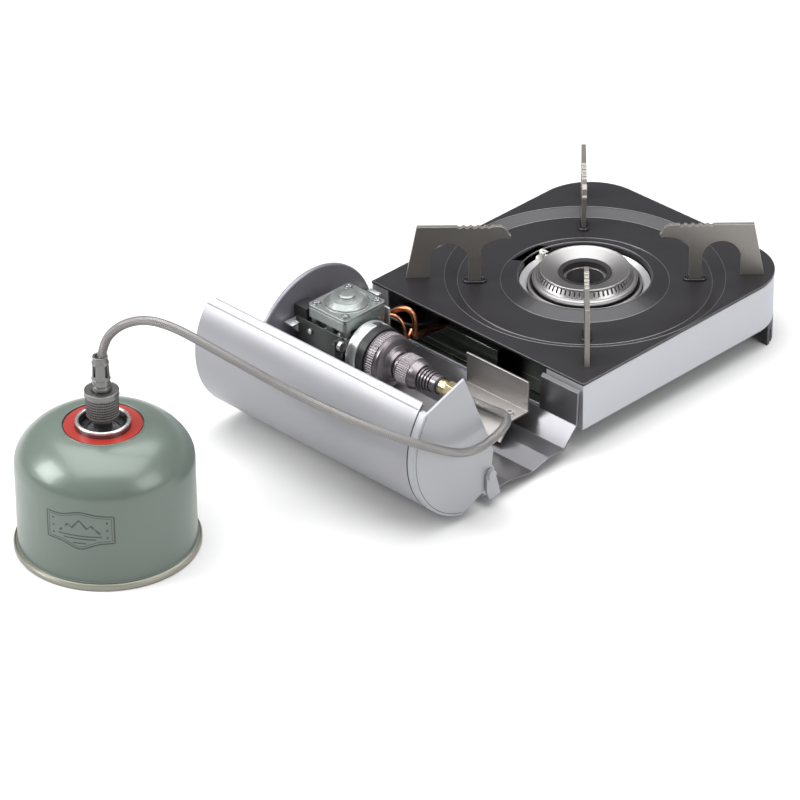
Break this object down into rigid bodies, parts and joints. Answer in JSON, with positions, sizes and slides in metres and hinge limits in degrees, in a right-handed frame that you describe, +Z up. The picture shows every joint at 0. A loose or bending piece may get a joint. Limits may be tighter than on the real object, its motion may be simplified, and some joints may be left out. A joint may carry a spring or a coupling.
{
  "type": "portable gas stove",
  "caption": "Compact portable gas stove with an open hinged cartridge lid, radial pot supports, and an adapter and braided hose to a screw-on gas canister.",
  "frame": {"origin": "middle of the footprint of the stove and its canister, at table level", "axes": "+X from the hob to the cartridge compartment and the canister, +Y from the front panel to the back, +Z up"},
  "size_m": [0.5264, 0.2176, 0.1579],
  "materials": {
    "plate_charcoal": "satin charcoal enamel",
    "body_silver": "satin silver paint",
    "pan_steel": "mill finish sheet",
    "foot_plastic": "moulded dark grey",
    "support_steel": "brushed sheet steel",
    "burner_steel": "satin stainless",
    "reflector_steel": "bright pressed sheet",
    "tube_steel": "plain tube",
    "ceramic": "white glazed ceramic",
    "electrode_wire": "plain wire",
    "black_lead": "insulated wire",
    "tray_grey": "satin grey paint",
    "heat_panel_steel": "bent sheet steel",
    "panel_grey": "satin grey paint",
    "lid_silver": "satin silver paint",
    "knob_plastic": "moulded knob",
    "slide_steel": "plain sheet",
    "cast_zinc": "bare die casting",
    "coupling_zinc": "plated ring",
    "copper": "copper pipe",
    "brass": "turned brass",
    "adapter_metal": "anodised grey, knurled",
    "hose_braid": "woven steel braid",
    "connector_metal": "anodised grey, knurled",
    "canister_green": "gloss sage green",
    "canister_rim": "bare seam",
    "canister_red": "gloss red",
    "cup_steel": "bright rolled cup"
  },
  "bodies": {
    "stove": {"top_plate": "plate_charcoal", "body_shell": "body_silver", "base_pan": "pan_steel", "inner_bulkhead": "pan_steel", "corner_foot_front": "foot_plastic", "corner_foot_rear": "foot_plastic", "tray_feet": "foot_plastic", "pot_support_1": "support_steel", "pot_support_2": "support_steel", "pot_support_3": "support_steel", "pot_support_4": "support_steel", "burner_base": "burner_steel", "burner_ring": "burner_steel", "burner_cap": "burner_steel", "reflector": "reflector_steel", "mixing_tube": "tube_steel", "heat_panel_screw": "tube_steel", "cover_screws": "tube_steel", "coupling_bolt": "tube_steel", "regulator_spring": "tube_steel", "hinge_pins": "tube_steel", "igniter_ceramic": "ceramic", "igniter_electrode": "electrode_wire", "igniter_bracket": "electrode_wire", "igniter_lead": "black_lead", "adapter_gasket": "black_lead", "diaphragm": "black_lead", "valve_seal": "black_lead", "cartridge_tray": "tray_grey", "hinge_ear": "tray_grey", "heat_panel": "heat_panel_steel", "front_panel": "panel_grey", "piezo_unit": "knob_plastic", "regulator_bracket": "slide_steel", "regulator_body": "cast_zinc", "regulator_cover": "cast_zinc", "coupling_ring": "coupling_zinc", "gas_pipe": "copper", "thermal_lead": "copper", "gas_jet": "brass", "hose_fitting": "brass", "valve_stem": "brass", "adapter_disc": "adapter_metal", "adapter_neck": "adapter_metal", "adapter_nut": "adapter_metal", "hose": "hose_braid", "hose_sleeve": "connector_metal", "connector_body": "connector_metal", "canister_shell": "canister_green", "canister_base": "canister_rim", "canister_label_ring": "canister_red", "valve_cup": "cup_steel"},
    "lid": {"lid_shell": "lid_silver", "lid_end_cap": "lid_silver"},
    "knob": {"knob": "knob_plastic", "knob_shaft": "tube_steel"},
    "lock_lever": {"lock_lever": "knob_plastic", "lock_slide": "slide_steel"},
    "adapter_collar": {"adapter_collar": "adapter_metal"},
    "valve_collar": {"valve_collar": "connector_metal"}
  },
  "joints": [
    {"name": "lid_hinge", "type": "hinge", "parent": "stove", "child": "lid", "pos_m": [0.02225, 0.0064, 0.0232], "axis": [0, 1, 0], "range_deg": [-105, 0], "deforming": ["hose"]},
    {"name": "knob_turn", "type": "hinge", "parent": "stove", "child": "knob", "pos_m": [-0.01265, -0.0836, 0.041], "axis": [0, 1, 0], "range_deg": [-110, 0]},
    {"name": "lock_lever_slide", "type": "slide", "parent": "stove", "child": "lock_lever", "axis": [0, 0, 1], "range_m": [0, 0.014]},
    {"name": "adapter_collar_turn", "type": "hinge", "parent": "stove", "child": "adapter_collar", "pos_m": [-0.00965, -0.0036, 0.041], "axis": [0, 1, 0], "continuous": true},
    {"name": "valve_collar_turn", "type": "hinge", "parent": "stove", "child": "valve_collar", "pos_m": [0.20685, -0.0376, 0.098], "axis": [0, 0, 1], "continuous": true}
  ]
}
